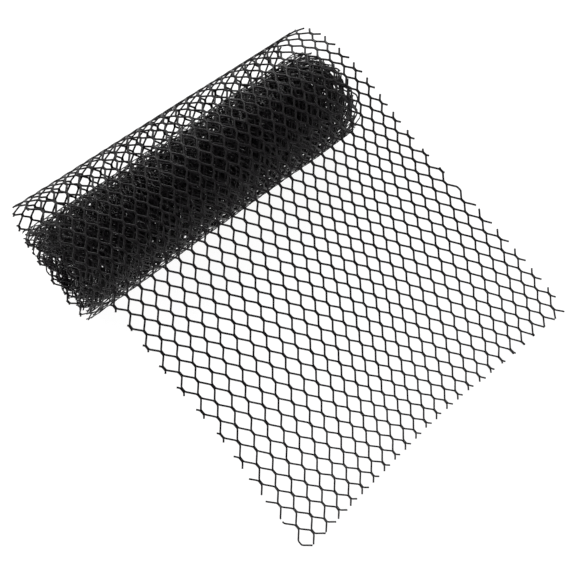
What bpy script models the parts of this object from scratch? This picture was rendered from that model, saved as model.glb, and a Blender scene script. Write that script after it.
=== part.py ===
"""Roll of hexagonal plastic balcony netting, partly unrolled, lying on a flat floor.

The free end runs up from the floor as a curled ramp, passes over the wound roll,
turns down behind it and comes back forward under it.
X runs along the roll, the free end points to -Y, the floor is z = 0.
"""

import math

import bmesh
import bpy
import mathutils
import numpy as np

MM = 0.001

# Loose turn of net, millimetres
SHEET_THICKNESS = 1.8
SPRING_LIFT = 0.4
HOLE_ACROSS = 16.45
HOLE_ALONG = 27.7
HOLES_IN_ROW = 24
HOLES_ALONG = 24
FIRST_ALONG = -5.5
TOOTH_OUT = 4.0
TOOTH_IN = 5.0
END_SKEW = -0.051
ROW_TILT = 0.068

# The sheet rises along its own rows near the cut end and along the roll axis further back
LEVEL_FROM = 60.0
LEVEL_TO = 320.0

# Wound roll, millimetres
ROLL_BACK = 385.0
ROLL_FLOOR_GAP = 2.2
DIMPLE_SHARE = 0.3
DIMPLE_DEPTH = 9.0
TURN_STEP = 3.4
STEP_ANGLE = 28.0
SECTION_POINTS = 56

# Placing of the whole object
CENTRE_ACROSS = 8.03
CENTRE_BACK = 224.95

# Side profile of the loose turn: distance back from the cut end, height of its middle surface
SIDE_PROFILE = (
    (-48.0, 0.9),
    (-24.0, 0.9),
    (-8.0, 0.9),
    (0.0, 2.2),
    (8.0, 7.8),
    (20.0, 16.3),
    (34.0, 25.1),
    (64.0, 43.1),
    (100.0, 61.6),
    (139.0, 78.6),
    (178.0, 91.1),
    (221.0, 99.6),
    (262.0, 107.1),
    (301.0, 115.6),
    (342.0, 125.6),
    (380.0, 132.1),
    (414.0, 132.7),
    (441.0, 126.2),
    (457.0, 110.8),
    (462.0, 91.0),
    (458.5, 68.5),
    (450.0, 45.0),
    (436.5, 22.0),
    (419.5, 6.0),
    (400.0, 0.9),
    (378.0, 0.9),
    (345.0, 0.9),
)
START_ROW = 6
START_ALONG = 37.6

# Side edges of the loose turn: distance along it, place of the left edge, place of the right edge
SIDE_EDGES = (
    (-30.0, -199.0, 208.0),
    (0.0, -200.0, 204.0),
    (60.0, -202.0, 196.0),
    (128.0, -202.0, 191.0),
    (185.0, -202.0, 190.0),
    (241.0, -200.0, 194.0),
    (294.0, -196.0, 203.0),
    (344.0, -189.0, 213.0),
    (392.0, -181.0, 219.0),
    (440.0, -180.0, 220.0),
    (490.0, -188.0, 214.0),
    (540.0, -198.0, 206.0),
    (600.0, -203.0, 203.0),
    (662.0, -204.0, 203.0),
)

# Outer surface of the wound roll: place along the axis, radius, shift backward
ROLL_STATIONS = (
    (-187.0, 53.6, 7.6),
    (-176.0, 55.8, 7.4),
    (-150.0, 56.9, 6.8),
    (-115.0, 57.2, 6.1),
    (-75.0, 58.2, 5.2),
    (-35.0, 58.2, 4.0),
    (5.0, 59.2, 2.8),
    (45.0, 59.0, 1.6),
    (85.0, 60.0, 0.4),
    (125.0, 60.0, -0.8),
    (165.0, 60.8, -2.0),
    (197.0, 60.2, -2.9),
    (207.0, 57.4, -3.2),
)

# End faces of the roll, from the rim inward: share of the radius, how far the turns stand out
LEFT_END = (
    (0.84, 4.0),
    (0.66, -3.0),
    (0.48, 2.5),
)
RIGHT_END = (
    (0.86, 3.0),
    (0.68, 5.0),
    (0.46, -2.0),
)

# Slow waves of the wound surface: waves round the roll, waves along it, depth
SURFACE_WAVES = (
    (3, 1.0, 0.7),
    (5, 2.0, 0.45),
    (2, 3.0, 0.5),
)


def smooth_line(rows, parts=12):
    """Points of a smooth line through the rows, with all columns blended together."""
    rows = np.array(rows, float)
    before = 2 * rows[0] - rows[1]
    after = 2 * rows[-1] - rows[-2]
    knots = np.vstack([before, rows, after])
    steps = np.arange(parts)[:, None] / parts
    line = []
    for a, b, c, d in zip(knots, knots[1:], knots[2:], knots[3:]):
        bend = 2 * a - 5 * b + 4 * c - d
        twist = 3 * b - 3 * c + d - a
        line.append(b + 0.5 * ((c - a) * steps + bend * steps**2 + twist * steps**3))
    line.append(rows[-1:])
    return np.vstack(line)


def measured_profile():
    """Side profile with the distance along it, zero at the cut end."""
    parts = 12
    line = smooth_line(SIDE_PROFILE, parts)
    lengths = np.hypot(*np.diff(line, axis=0).T)
    along = np.concatenate([[0.0], np.cumsum(lengths)])
    along += START_ALONG - along[START_ROW * parts]
    lift = np.interp(along, (400.0, 500.0), (SPRING_LIFT, 0.0))
    return along, line[:, 0], np.maximum(line[:, 1], SHEET_THICKNESS / 2) + lift


def make_material(name, colour, roughness):
    material = bpy.data.materials.new(name)
    material.use_nodes = True
    shader = material.node_tree.nodes["Principled BSDF"]
    shader.inputs["Base Color"].default_value = (*colour, 1.0)
    shader.inputs["Roughness"].default_value = roughness
    return material


def place_on_sheet(across, along, profile, edges):
    """Point of the loose turn; across runs from -1 at the left edge to 1 at the right edge."""
    distance, back, height = profile
    left = np.interp(along, edges[:, 0], edges[:, 1])
    right = np.interp(along, edges[:, 0], edges[:, 2])
    x = 0.5 * (left + right) + 0.5 * across * (right - left)
    along = along + END_SKEW * x
    share = min(max((along - LEVEL_FROM) / (LEVEL_TO - LEVEL_FROM), 0.0), 1.0)
    level = share * share * (3 - 2 * share)
    y = np.interp(along, distance, back)
    z = np.interp(along + ROW_TILT * x * (1 - level), distance, height)
    return (x - CENTRE_ACROSS) * MM, (y - CENTRE_BACK) * MM, z * MM


def make_loose_turn(collection, material):
    """Uncut sheet with a row of points at each half hole; its cut sides are toothed as the mesh is."""
    profile = measured_profile()
    edges = smooth_line(SIDE_EDGES)
    half_width = HOLES_IN_ROW * HOLE_ACROSS / 2
    mesh = bmesh.new()
    rows = []
    for row in range(2 * HOLES_ALONG + 1):
        along = FIRST_ALONG + row * HOLE_ALONG / 2
        tooth = TOOTH_OUT if row % 2 == 0 else -TOOTH_IN
        points = []
        for column in range(HOLES_IN_ROW + 1):
            across = 2 * column / HOLES_IN_ROW - 1
            if column in (0, HOLES_IN_ROW):
                across *= 1 + tooth / half_width
            points.append(mesh.verts.new(place_on_sheet(across, along, profile, edges)))
        rows.append(points)
    for lower, upper in zip(rows, rows[1:]):
        for k in range(HOLES_IN_ROW):
            mesh.faces.new((lower[k], lower[k + 1], upper[k + 1], upper[k]))
    data = bpy.data.meshes.new("loose_turn")
    bmesh.ops.recalc_face_normals(mesh, faces=mesh.faces)
    mesh.to_mesh(data)
    mesh.free()
    turn = bpy.data.objects.new("loose_turn", data)
    collection.objects.link(turn)
    data.materials.append(material)
    shell = turn.modifiers.new("Thickness", "SOLIDIFY")
    shell.thickness = SHEET_THICKNESS * MM
    shell.offset = 0.0
    shell.use_quality_normals = True
    return turn


def roll_section(radius, shift, along):
    """Outline of the wound roll at one station, from the step of its outermost turn onward."""
    points = []
    for k in range(SECTION_POINTS):
        share = k / (SECTION_POINTS - 1)
        turned = share * 2 * math.pi * (1 - 0.35 / SECTION_POINTS)
        angle = math.radians(STEP_ANGLE) + turned
        wave = sum(
            depth * math.sin(round_count * turned + along_count * along / 60.0)
            for round_count, along_count, depth in SURFACE_WAVES
        )
        size = radius - TURN_STEP * share + wave * math.sin(math.pi * share)
        points.append((shift - size * math.sin(angle), -size * math.cos(angle)))
    points = np.array(points)
    points[:, 1] += ROLL_FLOOR_GAP - points[:, 1].min()
    return points


def roll_rings():
    """Chain of rings from the left dimple over the outer surface to the right dimple."""
    rings = []
    places = [row[0] for row in ROLL_STATIONS]
    sections = [roll_section(radius, shift, x) for x, radius, shift in ROLL_STATIONS]

    def drawn_in(section, share):
        middle = 0.5 * (section.max(axis=0) + section.min(axis=0))
        return middle + share * (section - middle)

    rings.append((places[0] + DIMPLE_DEPTH, drawn_in(sections[0], DIMPLE_SHARE)))
    for share, out in reversed(LEFT_END):
        rings.append((places[0] - out, drawn_in(sections[0], share)))
    rings.extend(zip(places, sections))
    for share, out in RIGHT_END:
        rings.append((places[-1] + out, drawn_in(sections[-1], share)))
    rings.append((places[-1] - DIMPLE_DEPTH, drawn_in(sections[-1], DIMPLE_SHARE)))
    return rings


def make_wound_roll(collection, material):
    mesh = bmesh.new()
    loops = []
    for x, section in roll_rings():
        loop = []
        for back, height in section:
            place = (x - CENTRE_ACROSS, back + ROLL_BACK - CENTRE_BACK, height)
            loop.append(mesh.verts.new([value * MM for value in place]))
        loops.append(loop)
    for first, second in zip(loops, loops[1:]):
        for k in range(SECTION_POINTS):
            n = (k + 1) % SECTION_POINTS
            mesh.faces.new((first[k], first[n], second[n], second[k]))
    for loop in (loops[0], loops[-1]):
        middle = mesh.verts.new(sum((v.co for v in loop), mathutils.Vector()) / SECTION_POINTS)
        for k in range(SECTION_POINTS):
            mesh.faces.new((loop[k], loop[(k + 1) % SECTION_POINTS], middle))
    bmesh.ops.recalc_face_normals(mesh, faces=mesh.faces)
    data = bpy.data.meshes.new("wound_roll")
    mesh.to_mesh(data)
    mesh.free()
    roll = bpy.data.objects.new("wound_roll", data)
    collection.objects.link(roll)
    data.materials.append(material)
    return roll


def main():
    for old in list(bpy.data.objects):
        bpy.data.objects.remove(old)
    collection = bpy.data.collections.new("netting_roll")
    bpy.context.scene.collection.children.link(collection)
    loose_plastic = make_material("loose_net_plastic", (0.02, 0.02, 0.022), 0.42)
    wound_plastic = make_material("wound_net_plastic", (0.014, 0.014, 0.015), 0.5)
    make_loose_turn(collection, loose_plastic)
    make_wound_roll(collection, wound_plastic)


main()
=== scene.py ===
"""Looks of the roll of hexagonal balcony netting: real strands, plastic, floor, light and camera.

Lengths in the tables are millimetres in the CAD's directions. u counts the holes across the net
from left to right, v counts the holes along it towards the cut end, and "along" is the distance
along the net from near its cut end, over the roll, under it and into the wound turns.
"""

import math

import bpy
import numpy as np
from mathutils import Matrix


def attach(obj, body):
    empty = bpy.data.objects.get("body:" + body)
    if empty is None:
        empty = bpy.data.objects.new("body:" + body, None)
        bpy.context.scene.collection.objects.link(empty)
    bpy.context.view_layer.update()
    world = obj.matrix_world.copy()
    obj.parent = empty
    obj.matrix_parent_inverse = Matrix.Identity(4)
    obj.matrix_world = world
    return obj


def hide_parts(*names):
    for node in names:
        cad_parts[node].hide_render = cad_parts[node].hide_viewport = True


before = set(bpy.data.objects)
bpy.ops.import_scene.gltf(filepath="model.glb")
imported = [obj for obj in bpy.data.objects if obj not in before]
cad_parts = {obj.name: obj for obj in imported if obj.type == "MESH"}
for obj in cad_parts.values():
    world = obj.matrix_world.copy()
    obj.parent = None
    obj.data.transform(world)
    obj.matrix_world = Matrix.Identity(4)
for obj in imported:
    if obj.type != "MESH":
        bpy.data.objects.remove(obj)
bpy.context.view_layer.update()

MM = 0.001

# Place of the model, as in the CAD
CENTRE_ACROSS = 8.03
CENTRE_BACK = 224.95

# Real mesh
PITCH_ACROSS = 16.6
PITCH_ALONG = 27.8
ZERO_ALONG = 154.5
FIRST_U = -7.5
MIDDLE_U = 4.5
LAST_U = 16.5
NET_LENGTH = 4040.0

# Where the pieces of the net end, as v
LOOSE_FROM = 6.4
LOOSE_TO = -18.0
MIDDLE_TO = -60.0
INNER_TO = -100.0
CORE_TO = (ZERO_ALONG - NET_LENGTH) / PITCH_ALONG

# The rows lie slanted to the roll, half as much where the net is wound
ROWS_SLANT = -0.069
SLANT_HALVES = (400.0, 700.0)

# Strands lie half a hole apart, and each swings between its two neighbours, with which it is joined
# in turn, side by side. Gap from the middle of a joint, and where the strand forks from it
STRAND_STEP = 0.5
STRAND_SWING = 0.25
TWIN_GAP = 0.028
FORK_AT = 0.10
FORK_ROUND = 0.04

# Thickness of a strand as a share of its width, shortest piece of strand that is kept, and the step
# over which the slope of the net is taken, both as shares of a hole
STRAND_THICK = 0.72
SHORTEST_RUN = 0.05
SLOPE_STEP = 0.02

# Small waves of the strands: size as u, radians a hole along, radians a hole across, start
STRAND_WAVES = (
    (0.01, 1.7, 3.1, 0.0),
    (0.008, 4.3, -1.9, 0.0),
)

# Strand sizes: v, width; the strands get wider by a share for each hole to the right
STRAND_WIDTHS = (
    (-40.0, 2.1),
    (-29.0, 1.85),
    (-22.0, 1.85),
    (-17.0, 2.35),
    (-12.0, 2.65),
    (-8.0, 2.55),
    (-3.0, 2.36),
    (2.0, 2.1),
    (6.5, 1.95),
)
WIDER_TO_RIGHT = 0.006

# Where the rings of a strand lie along one hole, as shares of it: its straight runs need none
LOOSE_STEPS = (-0.14, -0.1, -0.06, 0.06, 0.1, 0.14, 0.36, 0.4, 0.44, 0.56, 0.6, 0.64)
WOUND_STEPS = (-0.13, -0.08, 0.08, 0.13, 0.37, 0.42, 0.58, 0.63)

# Side cuts: v, the last u on the left, the last u on the right
SIDE_CUTS = (
    (-110.0, -8.1, 16.9),
    (-18.0, -8.08, 16.9),
    (-6.7, -8.08, 16.87),
    (-6.3, -7.75, 16.85),
    (-5.0, -7.7, 16.77),
    (-4.2, -7.62, 16.72),
    (0.8, -7.65, 16.44),
    (3.0, -7.93, 16.31),
    (5.0, -7.93, 16.21),
    (6.2, -8.05, 16.15),
)

# The cut end: u, last v
END_CUT = (
    (-8.5, 5.94),
    (-6.6, 5.9),
    (-4.3, 5.8),
    (-1.0, 5.76),
    (8.5, 5.74),
    (10.0, 5.67),
    (12.0, 5.57),
    (14.0, 5.42),
    (17.0, 5.32),
)

# Unevenness of the cuts: how far the side cuts vary from row to row as u, the radians from one row
# to the next, how many times more they vary in the wound turns, and the spread, from strand to
# strand, of the place in that wave and of the length at the cut end
SIDE_UNEVEN = 0.04
SIDE_UNEVEN_TURN = 7.3
WOUND_UNEVEN = 3.0
CUT_SPREAD = (1.6, 0.4)
CUT_SEED = 7

# Winding around an axis; the finished roll is then shifted back from it, less so at its right end
AXIS_BACK = 385.0
AXIS_HEIGHT = 60.2
OUTER_RADIUS = 59.1
TURN_STEP = 2.8
MOST_TURNS = 15
POINTS_A_TURN = 90
ROLL_SHIFT = 3.0
ROLL_SKEW = -0.03
FLOOR_CLEAR = 0.85
LINE_PARTS = 12

# Distances from the end of the loose turn over which the roll becomes uneven and shifts back
UNEVEN_STARTS = (20.0, 120.0)
SHIFT_STARTS = (-30.0, 60.0)

# Near its cut end the net rises along its own rows, further back along the roll's axis
ROW_TILT = 0.068
LEVEL_OVER = (60.0, 320.0)

# Side profile of the loose turn: distance back from the cut end, height
SIDE_PROFILE = (
    (-48.0, 1.2),
    (-24.0, 1.2),
    (-8.0, 1.2),
    (0.0, 2.6),
    (8.0, 8.2),
    (20.0, 16.7),
    (34.0, 25.5),
    (64.0, 43.5),
    (100.0, 62.0),
    (139.0, 79.0),
    (178.0, 91.5),
    (221.0, 100.0),
    (262.0, 107.5),
    (301.0, 116.0),
    (342.0, 126.0),
    (380.0, 132.5),
    (414.0, 133.0),
    (441.0, 126.5),
    (457.0, 111.0),
    (462.0, 91.0),
    (458.5, 68.5),
    (449.0, 45.0),
    (434.5, 22.0),
    (417.5, 6.0),
    (400.0, 0.9),
    (385.0, 1.1),
)
START_ROW = 6
START_ALONG = 37.6

# Side edges of the net: distance along it, place of the left edge, place of the right edge
SIDE_EDGES = (
    (-30.0, -199.0, 208.0),
    (0.0, -200.0, 204.0),
    (60.0, -202.0, 196.0),
    (128.0, -202.0, 191.0),
    (185.0, -202.0, 190.0),
    (241.0, -200.0, 194.0),
    (294.0, -196.0, 203.0),
    (344.0, -189.0, 213.0),
    (392.0, -181.0, 219.0),
    (440.0, -180.0, 220.0),
    (490.0, -187.0, 214.0),
    (540.0, -191.0, 206.0),
    (600.0, -193.0, 203.0),
    (662.0, -193.5, 203.0),
)

# Sideways shift of the wound turns: turns wound in, shift of the left edge, shift of the right edge
TURN_SHIFTS = (
    (0.0, 0.0, 0.0),
    (0.25, 3.0, -1.0),
    (0.55, 5.0, -4.0),
    (0.85, 8.0, -4.0),
    (1.2, 9.0, 4.0),
    (1.9, 5.0, 0.0),
    (2.7, 11.0, 6.0),
    (3.6, 6.0, 2.0),
    (4.5, 12.0, 5.0),
    (5.6, 6.0, 1.0),
    (6.8, 11.0, 6.0),
    (8.0, 7.0, 3.0),
    (10.0, 10.0, 5.0),
    (12.0, 8.0, 2.0),
)

# The rows lie closer together under the roll: v, shift along the net
ROW_CROWDING = (
    (-28.0, -24.0),
    (-20.0, -23.0),
    (-18.5, -19.7),
    (-17.5, -12.5),
    (-16.5, -8.2),
    (-15.5, -4.5),
    (-14.5, -2.6),
    (-13.5, -0.1),
    (-12.5, 2.2),
    (-11.0, 0.0),
)

# In-plane drift of the mesh as it lies: a smooth field through knots over u and v
DRIFT_U = (-10.5, -5.5, -0.5, 4.5, 9.5, 14.5, 19.5)
DRIFT_V = (-11.1, -7.9, -4.7, -1.5, 1.7, 4.9, 8.1)
DRIFT_STEP = (5.0, 3.2)
DRIFT_V_LIMITS = (-11.0, 7.0)
DRIFT_FADES = (395.0, 520.0)
DRIFT_ACROSS = (
    (-0.4, 2.0, 3.1, 0.7, -1.2, -0.9, -1.5),
    (-3.1, -0.7, 1.3, 0.5, 0.6, 1.7, -2.1),
    (-4.9, -1.8, 1.2, 3.4, 2.1, 0.1, -3.4),
    (-4.8, 0.1, 3.1, 3.7, -1.8, -4.7, -4.2),
    (-3.2, 1.1, -0.1, -2.2, -4.8, -4.7, -2.8),
    (-2.7, 0.0, -2.0, -3.7, -0.2, 1.0, -0.1),
    (-3.5, -2.5, -1.8, 0.0, 4.1, 4.8, 3.0),
)
DRIFT_ALONG = (
    (-12.7, -11.2, -4.4, 3.8, 4.7, 0.4, -4.1),
    (2.1, 1.1, 3.1, 3.7, -2.6, -4.2, 0.2),
    (11.1, 9.5, 2.8, -4.7, -6.0, -0.2, 5.6),
    (6.7, 0.0, -6.5, -4.9, 3.5, 7.4, 5.3),
    (-0.9, -4.8, -2.9, 5.1, 8.0, 1.6, -4.3),
    (-2.8, -0.4, 2.7, 2.7, -3.6, -11.1, -14.6),
    (-1.2, 2.5, 1.9, -5.9, -15.5, -20.5, -23.4),
)

# Stretches of the net: the distances along it where each starts, is full, fades and ends
FROM_TOP = (340.0, 400.0, 600.0, 680.0)
OVER_TOP = (380.0, 430.0, 475.0, 525.0)
BEHIND = (448.0, 508.0, 600.0, 680.0)
LOW_BEHIND = (460.0, 520.0, 600.0, 680.0)
TOP_BEND = (390.0, 450.0, 472.0, 512.0)
BACK_BEND = (425.0, 475.0, 492.0, 545.0)
BACK_WALL = (465.0, 515.0, 545.0, 600.0)

# How the middle passes over into the left end, by the distance to the left, and into the right end,
# by the distance to the right
LEFT_PART = (-60.0, 190.0)
RIGHT_PART = (-20.0, 200.0)

# Fields: the stretch, and the shift at the left end, in the middle and at the right end
SHIFTS_ALONG = (
    (FROM_TOP, (-1.9, -1.9, -1.9)),
    (OVER_TOP, (-2.1, 1.9, -1.1)),
    (BEHIND, (3.1, 4.1, 4.1)),
    (LOW_BEHIND, (-19.8, -5.0, -13.5)),
)
SHIFTS_ACROSS = ((LOW_BEHIND, (4.4, -6.2, -3.8)),)
SHIFTS_BACK = (
    (TOP_BEND, (-1.6, 1.2, 1.2)),
    (BACK_BEND, (0.0, -0.168, -0.756)),
    (BACK_WALL, (6.0, 4.6, 2.0)),
)
SHIFTS_UP = (
    (TOP_BEND, (-1.5, 0.0, 0.0)),
    (BACK_BEND, (0.0, -0.108, -0.486)),
)

# The net behind the roll: shift of its left and right edge, and how far it is drawn forward
BEHIND_EDGES = (-1.3, 5.0)
BEHIND_FORWARD = 1.0

# The bend at the top, for each millimetre from the middle: shift back, rise on the left, shift
# outward on the right
TOP_SKEW = -0.025
TOP_LEFT_RISE = 0.026
TOP_RIGHT_WIDER = 2.0 / 210.0

# Unevenness of the wound turns: size, radians a turn, radians a millimetre along the roll, start
UNEVEN_ACROSS = (
    (3.2, 2.3, 0.021, 0.0),
    (1.8, 5.1, -0.037, 0.0),
)
UNEVEN_ALONG = (
    (5.5, 1.9, 0.027, 0.0),
    (3.0, -3.7, 0.061, 0.0),
)
RIPPLES = (
    (0.6, 6 * math.pi + 1.3, 0.021, 0.0),
    (0.5, 2.37, 0.034, 0.0),
    (0.3, 10 * math.pi, -0.05, 2.0),
)

# How far the turns stand out from an even winding. The outermost one does so over part of its way,
# given in turns, and all of them do at the right end, given in places along the roll. The inner
# turns lie further in, but stand out again at their low front and their high back, two sides given
# as directions back and up. How far in and how far out at the low front grows to the right
OUTER_TURN = (0.3, 0.55, 0.75, 1.0)
OUTER_TURN_OUT = 1.8
RIGHT_END = (-60.0, 160.0)
RIGHT_END_OUT = 3.6
INNER_TURNS = (1.0, 1.3)
INNER_IN = 1.6
LOW_FRONT_OUT = 2.0
HIGH_BACK_OUT = 2.4
MORE_TO_RIGHT = 0.006
LOW_FRONT = (-1 / 1.28, -0.8 / 1.28)
HIGH_BACK = (1 / 1.12, 0.5 / 1.12)

# Plastic: scale and detail of its noises, the cloud values with their share of the base colour, and
# the spot values between which the gloss changes
CLOUDS = (55.0, 6.0)
GRAIN = (900.0, 3.0)
GRAIN_STRENGTH = 0.25
GRAIN_DEPTH = 0.0002
SPOT_DETAIL = 2.0
DARK_CLOUD = (0.3, 0.75)
PALE_CLOUD = (0.72, 1.35)
SPOT_SPREAD = (0.35, 0.6)

# Studio: the sky is bright low down and dim overhead, so that the top of the roll stays black
SKY_HEIGHTS = (0.1, 0.6)
SKY_STRENGTHS = (0.85, 0.2)
FLOOR_SIZE = 60.0
FLOOR_HEIGHT = -0.0002
WHITE = (1, 1, 1, 1)

# Soft boxes, metres and watts: place, the point aimed at, size, power
SOFT_BOXES = (
    ((-1.0, -1.5, 0.9), (-0.1, 0.1, 0.05), 0.12, 18.0),
    ((1.4, 1.5, 1.9), (0, 0.1, 0.05), 0.7, 40.0),
    ((-0.9, 1.7, 1.6), (0, 0.1, 0.05), 0.6, 12.0),
)

# Camera: place, its angles in degrees, focal length in pixels of the frame
CAMERA_PLACE = (-361.4, -119.6, 769.7)
CAMERA_AZIMUTH = -45.34
CAMERA_ELEVATION = 57.01
CAMERA_ROLL = 0.14
FOCAL_PIXELS = 779.4
FRAME_PIXELS = 576.0
SENSOR_WIDTH = 36.0
CAMERA_REACH = 100.0


def smooth_line(rows):
    """Points of a smooth line through the rows, with all columns blended together."""
    rows = np.array(rows, float)
    knots = np.vstack([2 * rows[0] - rows[1], rows, 2 * rows[-1] - rows[-2]])
    steps = np.arange(LINE_PARTS)[:, None] / LINE_PARTS
    line = []
    for a, b, c, d in zip(knots, knots[1:], knots[2:], knots[3:]):
        bend = 2 * a - 5 * b + 4 * c - d
        twist = 3 * b - 3 * c + d - a
        line.append(b + 0.5 * ((c - a) * steps + bend * steps**2 + twist * steps**3))
    line.append(rows[-1:])
    return np.vstack(line)


def winding_path():
    """Distance along the whole net, with its place in the side view and the turns wound in."""
    loose = smooth_line(SIDE_PROFILE)
    loose[:, 1] = np.maximum(loose[:, 1], FLOOR_CLEAR)
    turned = np.linspace(0.0, 2 * math.pi * MOST_TURNS, MOST_TURNS * POINTS_A_TURN)[1:]
    radius = OUTER_RADIUS - TURN_STEP * turned / (2 * math.pi)
    back, height = AXIS_BACK - radius * np.sin(turned), AXIS_HEIGHT - radius * np.cos(turned)
    line = np.vstack([loose, np.column_stack([back, height])])
    turns = np.concatenate([np.zeros(len(loose)), turned / (2 * math.pi)])
    along = np.concatenate([[0.0], np.cumsum(np.hypot(*np.diff(line, axis=0).T))])
    along += START_ALONG - along[START_ROW * LINE_PARTS]
    return along, line[:, 0], line[:, 1], turns


ALONG, BACK, HEIGHT, TURNS = winding_path()
EDGES = smooth_line(SIDE_EDGES)
SIDEWAYS = smooth_line(TURN_SHIFTS)
LOOSE_END = ALONG[np.argmax(TURNS > 0)]


def look_up(table, place):
    """The other columns of the table at the place that its first column gives."""
    first, *others = np.transpose(table)
    return [np.interp(place, first, other) for other in others]


def ease(value, low, high):
    """0 up to low, 1 from high on, smooth between."""
    share = np.clip((value - low) / (high - low), 0.0, 1.0)
    return share * share * (3 - 2 * share)


def stretch(value, places):
    """1 between the two inner places, smooth down to 0 at the outer two."""
    start, full, fading, end = places
    return ease(value, start, full) * (1 - ease(value, fading, end))


def bump(distance):
    """Cubic bump, 2/3 high at a knot and 0 from two knots away."""
    t = np.abs(distance)
    return np.where(t < 1, 2 / 3 - t * t + t**3 / 2, np.where(t < 2, (2 - t) ** 3 / 6, 0.0))


def waves(rows, first, second):
    """Sum of the waves in the rows, each running over both places."""
    return sum(size * np.sin(a * first + b * second + start) for size, a, b, start in rows)


def field(rows, place, parts):
    """Sum of the fields in the rows: each acts on its stretch and changes from end to end."""
    return sum(stretch(place, where) * np.dot(shift, parts) for where, shift in rows)


def flat_place(u, v, along, turns):
    """Place across the net and distance along it, with the mesh drawn out of shape in its plane."""
    left, right = look_up(EDGES, along)
    left_shift, right_shift = look_up(SIDEWAYS, turns)
    left, right = left + left_shift, right + right_shift
    x = 0.5 * (left + right) + (u - MIDDLE_U) / (LAST_U - FIRST_U) * (right - left)
    s = along + ROWS_SLANT * x * (1 - 0.5 * ease(along, *SLANT_HALVES))
    fade = 1 - ease(along, *DRIFT_FADES)
    limited_v = np.clip(v, *DRIFT_V_LIMITS)
    for knot_u, row_across, row_along in zip(DRIFT_U, DRIFT_ACROSS, DRIFT_ALONG):
        near_u = fade * bump((u - knot_u) / DRIFT_STEP[0])
        for knot_v, across, further in zip(DRIFT_V, row_across, row_along):
            near = near_u * bump((limited_v - knot_v) / DRIFT_STEP[1])
            x = x + across * near
            s = s + further * near
    return x, s + look_up(ROW_CROWDING, v)[0]


def standing_out(turns, x, out_y, out_z):
    """How far the wound turns stand out from an even winding, where out_y, out_z point outward."""
    inner = ease(turns, *INNER_TURNS)
    more = MORE_TO_RIGHT * x
    low_front = np.clip(LOW_FRONT[0] * out_y + LOW_FRONT[1] * out_z, 0.0, 1.0)
    high_back = np.clip(HIGH_BACK[0] * out_y + HIGH_BACK[1] * out_z, 0.0, 1.0)
    return (
        waves(RIPPLES, turns, x)
        + OUTER_TURN_OUT * stretch(turns, OUTER_TURN)
        + RIGHT_END_OUT * ease(x, *RIGHT_END)
        - (INNER_IN + more) * inner
        + (LOW_FRONT_OUT + more) * inner * low_front
        + HIGH_BACK_OUT * inner * high_back
    )


def net_point(u, v):
    """Place of a point of the net."""
    along = ZERO_ALONG - PITCH_ALONG * v
    turns = np.interp(along, ALONG, TURNS)
    x, s = flat_place(u, v, along, turns)

    # the net over and behind the roll, as it shows through the mesh
    behind = stretch(along, BEHIND)
    share = (u - FIRST_U) / (LAST_U - FIRST_U)
    x = x + behind * (BEHIND_EDGES[0] + (BEHIND_EDGES[1] - BEHIND_EDGES[0]) * share)
    at_left, at_right = ease(-x, *LEFT_PART), ease(x, *RIGHT_PART)
    parts = np.array([at_left, 1 - at_left - at_right, at_right])
    s = s + field(SHIFTS_ALONG, along, parts)
    x = x + field(SHIFTS_ACROSS, along, parts)

    # the wound turns lie unevenly, so that no hole lies over another
    wound = ease(s - LOOSE_END, *UNEVEN_STARTS)
    x = x + wound * waves(UNEVEN_ACROSS, turns, x)
    s = s + wound * waves(UNEVEN_ALONG, turns, x)

    level = ease(s, *LEVEL_OVER)
    y = np.interp(s, ALONG, BACK)
    z = np.interp(s + ROW_TILT * x * (1 - level), ALONG, HEIGHT)

    top_bend = stretch(s, TOP_BEND)
    y = y + field(SHIFTS_BACK, s, parts) + TOP_SKEW * top_bend * x - BEHIND_FORWARD * behind
    z = z + field(SHIFTS_UP, s, parts) + TOP_LEFT_RISE * top_bend * np.maximum(-x, 0.0)
    x = x + TOP_RIGHT_WIDER * top_bend * np.maximum(x, 0.0)

    # the wound turns stand out here and there, and the whole roll lies askew
    out_y, out_z = y - AXIS_BACK, z - AXIS_HEIGHT
    size = np.maximum(np.hypot(out_y, out_z), 1.0)
    out_y, out_z = out_y / size, out_z / size
    out = wound * standing_out(turns, x, out_y, out_z)
    y = y + out * out_y + ease(s - LOOSE_END, *SHIFT_STARTS) * (ROLL_SHIFT + ROLL_SKEW * x)
    z = np.maximum(z + out * out_z, FLOOR_CLEAR)
    return np.stack([x, y, z], -1)


def wave(v):
    """1 where a strand meets its right neighbour, -1 where its left one, straight between."""
    phase = np.abs((v + 0.5) % 1.0 - 0.5)
    share = 0.0
    for way, place in ((1, FORK_AT), (-1, 0.5 - FORK_AT)):
        past = np.clip(phase - place + FORK_ROUND, 0.0, 2 * FORK_ROUND)
        further = np.maximum(phase - place - FORK_ROUND, 0.0)
        share = share + way * (past**2 / (4 * FORK_ROUND) + further)
    return 1 - 2 * share / (0.5 - 2 * FORK_AT)


def strand_line(centre_u, v):
    """u of one strand along the net; twins lie side by side in their joint."""
    sign = 1.0 if abs((centre_u - STRAND_SWING) % 1.0) < 0.01 else -1.0
    swing = sign * (STRAND_SWING - TWIN_GAP) * wave(v)
    return centre_u + swing + waves(STRAND_WAVES, v, centre_u)


def inside_net(u, v, row_phase, nick):
    """Positive where the strand exists, within the side cuts and the end cut, in millimetres."""
    left_cut, right_cut = look_up(SIDE_CUTS, v)
    uneven = SIDE_UNEVEN * np.sin(SIDE_UNEVEN_TURN * np.round(v) + row_phase)
    uneven = uneven * np.where(v < LOOSE_TO, WOUND_UNEVEN, 1.0)
    left = (u - left_cut - uneven) * PITCH_ACROSS
    right = (right_cut + uneven - u) * PITCH_ACROSS
    end = (look_up(END_CUT, u)[0] - v) * PITCH_ALONG + nick
    return np.minimum(np.minimum(left, right), end)


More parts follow.
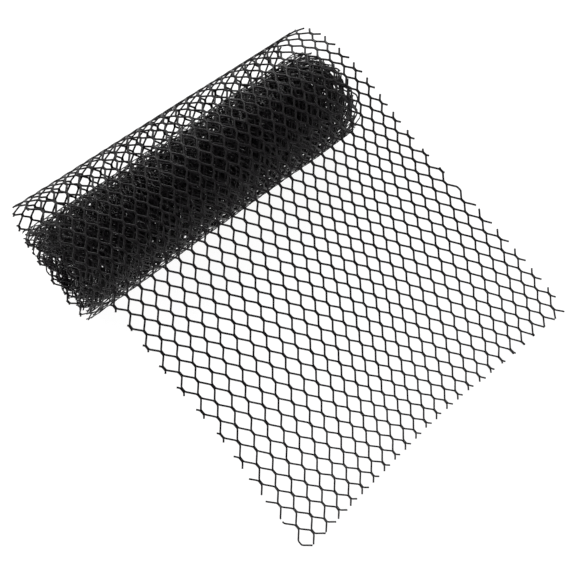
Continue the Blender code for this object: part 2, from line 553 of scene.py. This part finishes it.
def runs_inside(line, value):
    """Runs of the line where value is positive, each cut exactly at its ends."""

    def cut(inner, outer):
        share = value[inner] / (value[inner] - value[outer])
        return line[inner] + share * (line[outer] - line[inner])

    inside = np.concatenate([[False], value > 0, [False]])
    changes = np.flatnonzero(inside[1:] != inside[:-1])
    runs = []
    for first, past in zip(changes[::2], changes[1::2]):
        run = list(line[first:past])
        if first > 0:
            run.insert(0, cut(first, first - 1))
        if past < len(line):
            run.append(cut(past - 1, past))
        runs.append(np.array(run))
    return runs


def unit(vectors):
    return vectors / np.linalg.norm(vectors, axis=-1, keepdims=True)


class Tubes:
    """Gathers swept strands into one mesh."""

    def __init__(self, sides):
        self.sides = sides
        self.points = []
        self.faces = []
        self.ends = []
        self.count = 0

    def add(self, centres, across, normals, width, thick):
        """One strand, closed at both ends, with an oval ring around each of its centres."""
        rings = len(centres)
        corner = np.arange(self.sides)
        angle = (2 * math.pi * (corner + 0.5) / self.sides)[None, :, None]
        half_width, half_thick = width[:, None, None] / 2, thick[:, None, None] / 2
        ring = (
            centres[:, None]
            + across[:, None] * (half_width * np.cos(angle))
            + normals[:, None] * (half_thick * np.sin(angle))
        )
        self.points.append(ring.reshape(-1, 3))
        start = self.count + np.arange(rings - 1)[:, None] * self.sides
        here, beside = start + corner, start + (corner + 1) % self.sides
        quads = np.stack([here, beside, beside + self.sides, here + self.sides], -1)
        self.faces.append(quads.reshape(-1, 4))
        first = self.count + corner
        self.ends.append(first[::-1])
        self.ends.append(first + (rings - 1) * self.sides)
        self.count += rings * self.sides

    def to_object(self, name):
        points = np.concatenate(self.points)
        points = (points - [CENTRE_ACROSS, CENTRE_BACK, 0.0]) * MM
        quads = np.concatenate(self.faces)
        ends = np.array(self.ends)
        loops = np.concatenate([quads.ravel(), ends.ravel()])
        quad_starts = np.arange(len(quads)) * 4
        end_starts = quads.size + np.arange(len(ends)) * self.sides
        starts = np.concatenate([quad_starts, end_starts])
        mesh = bpy.data.meshes.new(name)
        mesh.vertices.add(len(points))
        mesh.vertices.foreach_set("co", points.ravel())
        mesh.loops.add(len(loops))
        mesh.loops.foreach_set("vertex_index", loops.astype(np.int32))
        mesh.polygons.add(len(starts))
        mesh.polygons.foreach_set("loop_start", starts.astype(np.int32))
        mesh.update(calc_edges=True)
        mesh.validate()
        mesh.polygons.foreach_set("use_smooth", np.ones(len(mesh.polygons), bool))
        made = bpy.data.objects.new(name, mesh)
        bpy.context.scene.collection.objects.link(made)
        return made


def build_net(name, v_high, v_low, steps, sides):
    """Strands of the net between two holes along it, as one mesh."""
    tubes = Tubes(sides)
    holes = np.arange(math.floor(v_low), math.ceil(v_high) + 1)
    v = np.sort(np.concatenate([holes + step for step in steps] + [[v_low, v_high]]))
    v = v[(v >= v_low) & (v <= v_high)][::-1]
    rng = np.random.default_rng(CUT_SEED)
    first_u, past_u = FIRST_U - 1.5 * STRAND_STEP, LAST_U + 2 * STRAND_STEP
    for centre_u in np.arange(first_u, past_u, STRAND_STEP):
        u = strand_line(centre_u, v)
        row_phase, nick = rng.normal(0.0, CUT_SPREAD)
        for run in runs_inside(np.column_stack([u, v]), inside_net(u, v, row_phase, nick)):
            if len(run) < 2 or np.hypot(*(run[-1] - run[0])) < SHORTEST_RUN:
                continue
            run_u, run_v = run.T
            centres = net_point(run_u, run_v)
            step_u = net_point(run_u + SLOPE_STEP, run_v) - centres
            step_v = net_point(run_u, run_v - SLOPE_STEP) - centres
            normals = unit(np.cross(step_u, step_v))
            tangents = unit(np.gradient(centres, axis=0))
            across = unit(np.cross(tangents, normals))
            width = look_up(STRAND_WIDTHS, run_v)[0] * (1 + WIDER_TO_RIGHT * (run_u - MIDDLE_U))
            tubes.add(centres, across, normals, width, STRAND_THICK * width)
    return tubes.to_object(name)


def set_inputs(node, values):
    for name, value in values.items():
        node.inputs[name].default_value = value


def noise(tree, scale, detail):
    """Noise fixed to the piece."""
    coordinates = tree.nodes.new("ShaderNodeTexCoord")
    texture = tree.nodes.new("ShaderNodeTexNoise")
    set_inputs(texture, {"Scale": scale, "Detail": detail})
    tree.links.new(coordinates.outputs["Object"], texture.inputs["Vector"])
    return texture.outputs["Fac"]


def map_range(tree, value, from_range, to_range):
    node = tree.nodes.new("ShaderNodeMapRange")
    names = ("From Min", "From Max", "To Min", "To Max")
    set_inputs(node, dict(zip(names, (*from_range, *to_range))))
    tree.links.new(value, node.inputs["Value"])
    return node.outputs["Result"]


def plastic(name, base, specular, spot_scale, roughness_range):
    """Black plastic with clouds of colour, a fine grain and some glossier spots."""
    material = bpy.data.materials.new(name)
    material.use_nodes = True
    tree = material.node_tree
    shader = tree.nodes["Principled BSDF"]
    shader.inputs["Specular IOR Level"].default_value = specular

    tint = tree.nodes.new("ShaderNodeValToRGB")
    for stop, (position, strength) in zip(tint.color_ramp.elements, (DARK_CLOUD, PALE_CLOUD)):
        stop.position = position
        stop.color = (*[part * strength for part in base], 1)
    tree.links.new(noise(tree, *CLOUDS), tint.inputs["Fac"])
    tree.links.new(tint.outputs["Color"], shader.inputs["Base Color"])

    spots = noise(tree, spot_scale, SPOT_DETAIL)
    roughness = map_range(tree, spots, SPOT_SPREAD, roughness_range)
    tree.links.new(roughness, shader.inputs["Roughness"])

    relief = tree.nodes.new("ShaderNodeBump")
    set_inputs(relief, {"Strength": GRAIN_STRENGTH, "Distance": GRAIN_DEPTH})
    tree.links.new(noise(tree, *GRAIN), relief.inputs["Height"])
    tree.links.new(relief.outputs["Normal"], shader.inputs["Normal"])
    return material


def make_floor():
    bpy.ops.mesh.primitive_plane_add(size=FLOOR_SIZE, location=(0, 0, FLOOR_HEIGHT))
    floor = bpy.context.object
    floor.name = "floor"
    material = bpy.data.materials.new("floor_pale")
    material.use_nodes = True
    set_inputs(
        material.node_tree.nodes["Principled BSDF"],
        {
            "Base Color": (0.2, 0.2, 0.2, 1),
            "Emission Color": WHITE,
            "Emission Strength": 0.92,
            "Roughness": 0.9,
            "Specular IOR Level": 0.1,
        },
    )
    floor.data.materials.append(material)


def look_along(direction, roll=0.0):
    """Rotation that points -Z along the direction."""
    forward = unit(direction)
    right = unit(np.cross(forward, (0, 0, 1.0)))
    up = np.cross(right, forward)
    c, s = math.cos(roll), math.sin(roll)
    return Matrix((c * right + s * up, c * up - s * right, -forward)).transposed()


def make_light():
    world = bpy.data.worlds.new("studio")
    bpy.context.scene.world = world
    world.use_nodes = True
    tree = world.node_tree
    coordinates = tree.nodes.new("ShaderNodeTexCoord")
    split = tree.nodes.new("ShaderNodeSeparateXYZ")
    tree.links.new(coordinates.outputs["Generated"], split.inputs["Vector"])
    strength = map_range(tree, split.outputs["Z"], SKY_HEIGHTS, SKY_STRENGTHS)
    sky = tree.nodes["Background"]
    sky.inputs["Color"].default_value = WHITE
    tree.links.new(strength, sky.inputs["Strength"])
    for place, aim, size, power in SOFT_BOXES:
        data = bpy.data.lights.new("softbox", "AREA")
        data.size = size
        data.energy = power
        lamp = bpy.data.objects.new("softbox", data)
        bpy.context.scene.collection.objects.link(lamp)
        lamp.location = place
        lamp.rotation_euler = look_along(np.array(aim) - np.array(place)).to_euler()


def make_camera():
    azimuth, elevation = math.radians(CAMERA_AZIMUTH), math.radians(CAMERA_ELEVATION)
    forward = np.array([
        -math.sin(azimuth) * math.cos(elevation),
        math.cos(azimuth) * math.cos(elevation),
        -math.sin(elevation),
    ])
    data = bpy.data.cameras.new("camera")
    data.sensor_width = SENSOR_WIDTH
    data.lens = SENSOR_WIDTH * FOCAL_PIXELS / FRAME_PIXELS
    data.clip_end = CAMERA_REACH
    camera = bpy.data.objects.new("camera", data)
    bpy.context.scene.collection.objects.link(camera)
    camera.location = (np.array(CAMERA_PLACE) - [CENTRE_ACROSS, CENTRE_BACK, 0.0]) * MM
    camera.rotation_euler = look_along(forward, math.radians(CAMERA_ROLL)).to_euler()
    bpy.context.scene.camera = camera


# The two materials are copies of one plastic. The wound copy has a slightly darker base colour,
# which is painted shade of the tightly packed roll. Its higher specular and glossier spots are real
# gloss.
loose_material = plastic("loose_net_plastic", (0.0041, 0.0033, 0.0041), 0.2, 50.0, (0.28, 0.36))
wound_material = plastic("wound_net_plastic", (0.0034, 0.0026, 0.0035), 0.26, 220.0, (0.06, 0.4))

loose = build_net("net_loose", LOOSE_FROM, LOOSE_TO, LOOSE_STEPS, 6)
middle = build_net("net_turns_outer", LOOSE_TO, MIDDLE_TO, WOUND_STEPS, 5)
inner = build_net("net_turns_inner", MIDDLE_TO, INNER_TO, WOUND_STEPS, 4)
core = build_net("net_turns_core", INNER_TO, CORE_TO, WOUND_STEPS, 4)

for piece, node, material, slot in (
    (loose, "loose_turn", loose_material, "loose_net_plastic"),
    (middle, "wound_roll", wound_material, "wound_net_plastic"),
    (inner, "wound_roll", wound_material, "wound_net_plastic"),
    (core, "wound_roll", wound_material, "wound_net_plastic"),
):
    piece.data.materials.append(material)
    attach(piece, "root")
    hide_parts(node)

make_floor()
make_light()
make_camera()
bpy.context.scene.view_settings.view_transform = "Standard"
